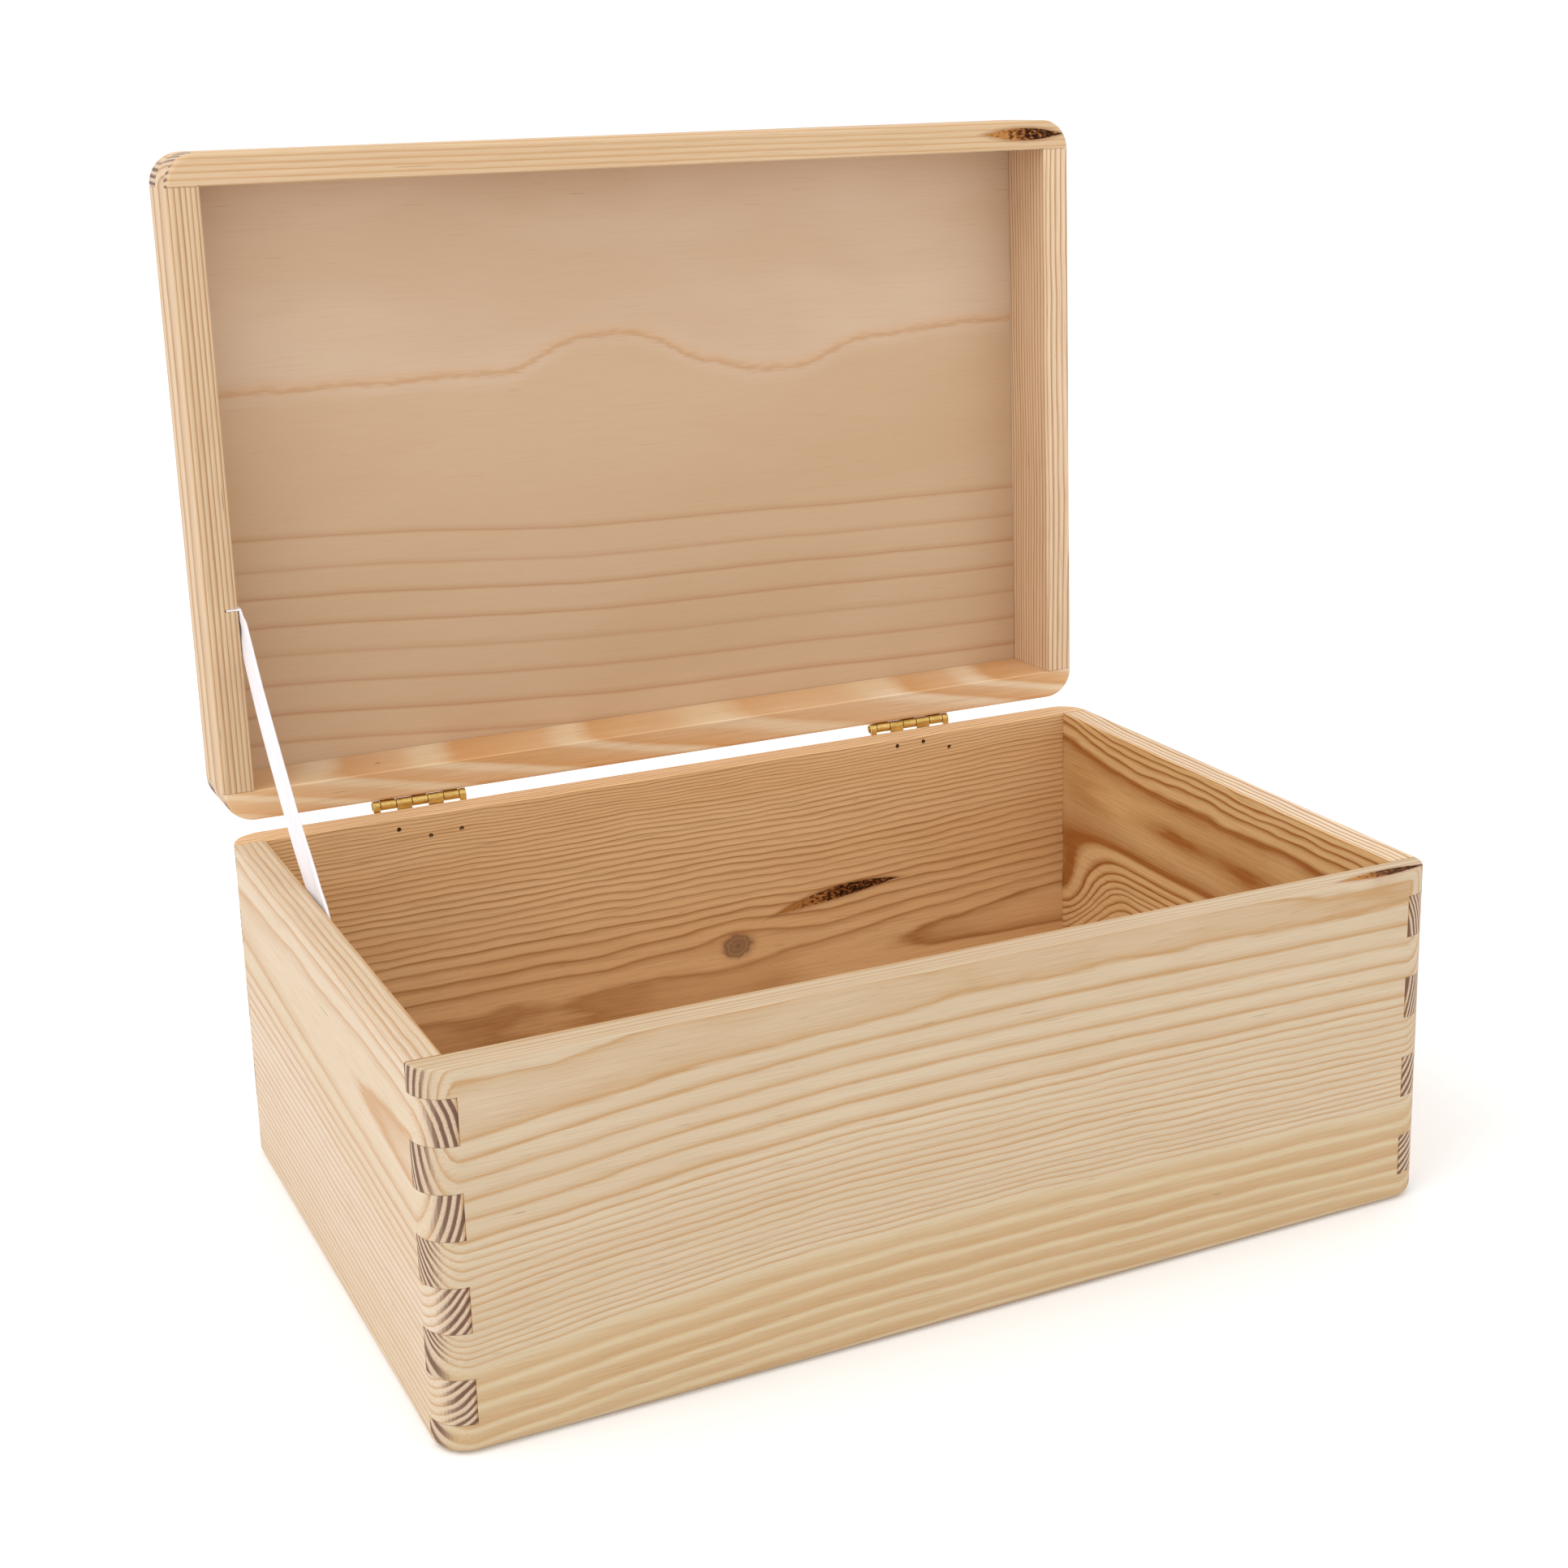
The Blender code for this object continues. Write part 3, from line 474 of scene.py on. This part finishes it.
def dress_boards():
    """Each board from its own log, placed so that its rings give the board's figure."""
    inner_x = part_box("base_left_board")[1].x / MM
    inner_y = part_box("base_front_board")[1].y / MM
    # Painted shade: each board's inside tint darkens and warms its inner face, for the shade and
    # warm bounce light inside the box; this tint serves the front and left boards.
    inner_shade_tint = (240, 220, 192)
    dress(["base_front_board"], wood(
        "pine_front", "XZY", (99, -160),
        ((59, 0.2), (60.2, 1), (61.0, 2), (62.4, 3), (64, 4), (66, 5), (68.8, 6), (89.4, 21),
         (130, 31)), (206, 187, 160), (184, 144, 98), tilt=(0.0, -0.0012), bend=1.2, ripple=1.0,
        seed=11, tone=(201, 180, 151), contrast=1.15, broad=(91, 2.5),
        zone=(90, 2, (204, 184, 148)),
        inside=(inner_y, -1, inner_shade_tint), warp=front_flow, paint=paint_rim_pocket(-97.2, 1, 21)))
    dress(["base_left_board"], wood(
        "pine_left", "YZX", (79, -192.6),
        ((41, 0.2), (42.3, 1), (44.5, 2), (46.8, 3), (100, 31)), (217, 199, 178),
        (194, 153, 112), tilt=(0.02, -0.012), bend=1.0, ripple=0.8, seed=12,
        tone=(212, 192, 164), contrast=1.3, inside=(inner_x, -1, inner_shade_tint)))
    dress(["base_back_board"], wood(
        "pine_back", "XZY", (26, 50),
        ((38, -0.6), (40.3, 0.45), (43.3, 2), (51, 6), (69.2, 16), (77.7, 22), (95, 40)),
        (238, 204, 162), (182, 130, 80), bend=1.0, ripple=1.0, seed=13, tone=(234, 195, 150),
        contrast=1.15, warp=back_flow, paint=paint_back, inside=(BACK_FACE_IN, 1, (252, 246, 230)),
        hills=((-50, 26, 55, 6, 0.36), (28, 25, 17, 5, 0.3), (150, 32, 90, 14, -1.3))))
    dress(["base_right_board"], wood(
        "pine_right", "YZX", (76, 96),
        ((43, -0.6), (44.5, 0.45), (46.9, 1), (48.4, 2), (52.8, 6), (70, 15), (95, 28)),
        (236, 214, 184), (170, 114, 60), bend=1.0, ripple=1.2, seed=14, tone=(230, 202, 164),
        contrast=1.5, inside=(-inner_x, 1, (248, 232, 196)), warp=right_flow,
        hills=((-25, 76, 24, 5.5, 0.42), (19, 77, 21, 4.5, 0.42), (74, 75, 24, 7, 0.28))))
    dress(["lid_front_rail"], wood(
        "pine_lid_front", "XZY", (120, -180), ((60, 0), (120, 30)), (218, 190, 158),
        (196, 150, 102), True, tilt=(0.0, 0.004), seed=15, bend=2.0, ripple=0.5,
        tone=(212, 182, 144), contrast=1.15, paint=paint_rim_pocket(-95.6, -1, 22)))
    dress(["lid_rear_rail"], wood(
        "pine_lid_rear", "XZY", (103, -200), ((100, 0), (400, 34)), (236, 214, 184),
        (214, 162, 108), True, tilt=(0.0, 0.2), seed=16, bend=6.0, ripple=2.5,
        tone=(228, 200, 160), contrast=1.45, broad=(50, 1), jitter=1.0))
    dress(["lid_left_rail"], wood(
        "pine_lid_left", "YZX", (105, -215), ((40, 0), (120, 50)), (214, 188, 154), (176, 128, 82),
        True, seed=17, bend=1.5, ripple=0.4, contrast=1.5, jitter=0.45))
    dress(["lid_right_rail"], wood(
        "pine_lid_right", "YZX", (60, 190), ((30, 0), (90, 44)), (228, 202, 170), (180, 130, 84),
        True, seed=18, bend=2, ripple=0.5, contrast=1.4))
    dress(["lid_top_panel"], plywood("veneer_lid", True, True))
    dress(["base_bottom_panel"], plywood("veneer_bottom", False, False))


def dress_metal():
    """Brass leaves, duller pins, darker nails, and the staple."""
    leaves = [name for name in nodes if name.endswith("_leaf")]
    pins = [name for name in nodes if name.endswith("_pin")]
    nails = [name for name in nodes if "_nail_" in name]
    dress(leaves, metal("hinge_brass", (226, 192, 116), (192, 152, 78), 0.26, 51))
    dress(pins, metal("pin_brass", (196, 158, 84), (150, 112, 54), 0.3, 54))
    dress(nails, metal("nail_brass", (176, 134, 72), (104, 74, 42), 0.35, 57))
    dress(["ribbon_staple"], metal("staple_steel", (205, 206, 208), (150, 152, 156), 0.25, 61))


def opened(y, z):
    """Where (y, z) of the closed lid stands when the lid is open."""
    turned = Matrix.Rotation(-OPEN_ANGLE, 3, "X") @ (Vector((0, y, z)) - HINGE_AXIS) + HINGE_AXIS
    return Vector((turned.y, turned.z))


def smooth(value, low, high):
    """0 below low, 1 above high, and smooth between them."""
    t = min(1.0, max(0.0, (value - low) / (high - low)))
    return t * t * (3 - 2 * t)


RIBBON_WIDTH = 13.0 * MM
RIBBON_THICKNESS = 0.7 * MM
RIBBON_INSET = 0.1 * MM
RIBBON_KERF_Y = 34.0 * MM
RIBBON_CROSSES_RIM_Y = 30.4 * MM
RIBBON_STAPLE_DROP = 12.0 * MM
RIBBON_BEYOND_STAPLE = 4.6 * MM
RIBBON_OFF_WALL = 0.3 * MM
RIBBON_TWIST = 0.35
RIBBON_LEAN = 0.5
RIBBON_SWAY = 2.0 * MM
RIBBON_CUP = 1.2
RIBBON_PUCKER = 0.35
RIBBON_CREASE = 0.5
WAIST_BY_KERF = 0.02
WAIST_BY_STAPLE = 0.09
KERF_TURN_END = 15 * MM
PUCKER_END = 16 * MM
WAIST_END = 20 * MM
TWIST_START, TWIST_END = 4 * MM, 60 * MM
CUP_START, CUP_END = 20 * MM, 60 * MM
TUCK_CLEARANCE = 0.1 * MM
RIBBON_ROWS = 110
RIBBON_COLUMNS = 14
TUCK_ROWS = 8


def make_ribbon():
    """The stay, as one woven strip from inside the base to its kerf in the lid's left rail."""
    low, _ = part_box("lid_stay_ribbon")
    wall_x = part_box("base_left_board")[1].x
    plane_x = wall_x + RIBBON_OFF_WALL + RIBBON_THICKNESS / 2
    base_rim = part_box("base_back_board")[1].z
    cut = LID_CUT * MM
    top = opened(RIBBON_KERF_Y, cut + RIBBON_INSET + RIBBON_WIDTH / 2)
    inward = (opened(RIBBON_KERF_Y, cut + RIBBON_WIDTH) - opened(RIBBON_KERF_Y, cut)).normalized()
    crossing = Vector((RIBBON_CROSSES_RIM_Y, base_rim))
    along = (crossing - top).normalized()
    across = Vector((-along.y, along.x))
    if across.dot(inward) < 0:
        across = -across
    foot = crossing + along * (RIBBON_STAPLE_DROP / -along.y + RIBBON_BEYOND_STAPLE)
    length = (foot - top).length
    tuck = plane_x - low.x - TUCK_CLEARANCE

    points, uvs = [], []
    for row in range(-TUCK_ROWS, RIBBON_ROWS + 1):
        t = max(0.0, row / RIBBON_ROWS)
        run = t * length
        settle = smooth(run, 0, KERF_TURN_END)
        side = inward.lerp(across, settle).normalized()
        waist = WAIST_BY_KERF * sin(pi * min(1, run / WAIST_END))
        width = RIBBON_WIDTH * (1 - waist - WAIST_BY_STAPLE * smooth(t, 0.75, 1))
        for column in range(RIBBON_COLUMNS + 1):
            c = column / RIBBON_COLUMNS - 0.5
            if row < 0:
                x = plane_x + tuck * row / TUCK_ROWS
                yz = top + inward * c * RIBBON_WIDTH
            else:
                pucker = sin(c * 9 + 1.2) * RIBBON_PUCKER * sin(pi * min(1, run / PUCKER_END))
                cup = (0.25 - c * c) * RIBBON_CUP * smooth(run, CUP_START, CUP_END)
                near_foot = smooth(t, 0.8, 0.92) * (1 - smooth(t, 0.93, 0.99))
                crease = sin(c * 7 + t * 21) * RIBBON_CREASE * near_foot
                lift = max(0, pucker) + cup * (1 - smooth(t, 0.8, 0.97)) + max(0, crease)
                held = smooth(run, TWIST_START, TWIST_END) * (1 - smooth(t, 0.82, 0.95))
                lean = RIBBON_LEAN * (1 - smooth(t, 0.6, 0.8))
                turn = ((0.5 - c) * RIBBON_TWIST - lean) * held
                x = plane_x + (lift + turn) * MM
                sway = smooth(t, 0.05, 0.3) * (1 - smooth(t, 0.8, 0.94)) * RIBBON_SWAY
                yz = top + along * run + side * (c * width + sway)
            points.append((x, yz.x, yz.y))
            uvs.append((c * RIBBON_WIDTH / MM, run / MM + min(0, row)))
    columns = RIBBON_COLUMNS + 1
    faces = []
    for row in range(TUCK_ROWS + RIBBON_ROWS):
        for column in range(RIBBON_COLUMNS):
            first = row * columns + column
            faces.append((first, first + 1, first + columns + 1, first + columns))
    mesh = bpy.data.meshes.new("ribbon_tape")
    mesh.from_pydata(points, [], faces)
    layer = mesh.uv_layers.new(name="tape")
    for loop in mesh.loops:
        layer.data[loop.index].uv = uvs[loop.vertex_index]
    mesh.shade_smooth()
    mesh.materials.append(tape("tape_weave"))
    ribbon = bpy.data.objects.new("ribbon_tape", mesh)
    bpy.context.scene.collection.objects.link(ribbon)
    thick = ribbon.modifiers.new("thickness", "SOLIDIFY")
    thick.thickness = RIBBON_THICKNESS
    thick.offset = 0.0
    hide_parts("lid_stay_ribbon")
    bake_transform(ribbon)
    return ribbon


FLOOR_REACH = 30
FLOOR_GAP = 0.2 * MM
WORLD_LIGHT = 1.06
FLOOR_GLOW = 0.07


def make_stage():
    """A plain white floor under an even white sky."""
    graph = Graph("floor_white")
    place, _ = place_on(graph, "XYZ", False)
    cloud = graph.noise(place, (900, 900, 900), 81, 2.0)
    graph.finish(graph.mix(cloud, (0.93, 0.93, 0.93, 1), (0.95, 0.95, 0.95, 1)),
                 graph.add(0.85, graph.mul(cloud, 0.05)))
    graph.shader.inputs["Specular IOR Level"].default_value = 0.0
    graph.shader.inputs["Emission Color"].default_value = (1, 1, 1, 1)
    graph.shader.inputs["Emission Strength"].default_value = FLOOR_GLOW
    signs = ((-1, -1), (1, -1), (1, 1), (-1, 1))
    corners = [(x * FLOOR_REACH, y * FLOOR_REACH, 0) for x, y in signs]
    mesh = bpy.data.meshes.new("floor")
    mesh.from_pydata(corners, [], [(0, 1, 2, 3)])
    mesh.materials.append(graph.material)
    floor = bpy.data.objects.new("floor", mesh)
    floor.location.z = -FLOOR_GAP
    bpy.context.scene.collection.objects.link(floor)

    world = bpy.data.worlds.new("studio")
    world.use_nodes = True
    world.node_tree.nodes["Background"].inputs["Color"].default_value = (1, 1, 1, 1)
    world.node_tree.nodes["Background"].inputs["Strength"].default_value = WORLD_LIGHT
    bpy.context.scene.world = world
    bpy.context.scene.view_settings.view_transform = "Standard"


def add_softbox(name, place, aim, size, power):
    """A rectangular light at place that faces aim."""
    light = bpy.data.lights.new(name, "AREA")
    light.shape = "RECTANGLE"
    light.size, light.size_y = size
    light.energy = power
    lamp = bpy.data.objects.new(name, light)
    bpy.context.scene.collection.objects.link(lamp)
    lamp.location = place
    lamp.rotation_mode = "QUATERNION"
    lamp.rotation_quaternion = (Vector(aim) - Vector(place)).to_track_quat("-Z", "Y")


def add_camera():
    """The viewpoint: a short telephoto just above the rim, looking down a little to the right."""
    yaw, pitch, roll = radians(26.07), radians(15.20), radians(-1.10)
    flat = Vector((cos(yaw), -sin(yaw), 0))
    forward = Vector((sin(yaw) * cos(pitch), cos(yaw) * cos(pitch), -sin(pitch)))
    upward = flat.cross(forward)
    right = flat * cos(roll) + upward * sin(roll)
    up = upward * cos(roll) - flat * sin(roll)
    data = bpy.data.cameras.new("camera")
    data.sensor_width = 36.0
    data.lens = 55.63
    data.shift_x = -0.0465
    data.shift_y = -0.0616
    data.clip_start = 0.01
    camera = bpy.data.objects.new("camera", data)
    turn = Matrix((right, up, -forward)).transposed()
    camera.matrix_world = Matrix.Translation((-0.2854, -0.6151, 0.3365)) @ turn.to_4x4()
    bpy.context.scene.collection.objects.link(camera)
    bpy.context.scene.camera = camera


dress_boards()
dress_metal()
make_ribbon()
make_stage()
add_softbox("key", (-1.3, -0.3, 1.9), (0, 0, 0.1), (1.2, 1.2), 13)
add_softbox("fill", (1.4, -1.6, 0.9), (0, 0, 0.15), (1.4, 1.4), 1.5)
add_camera()
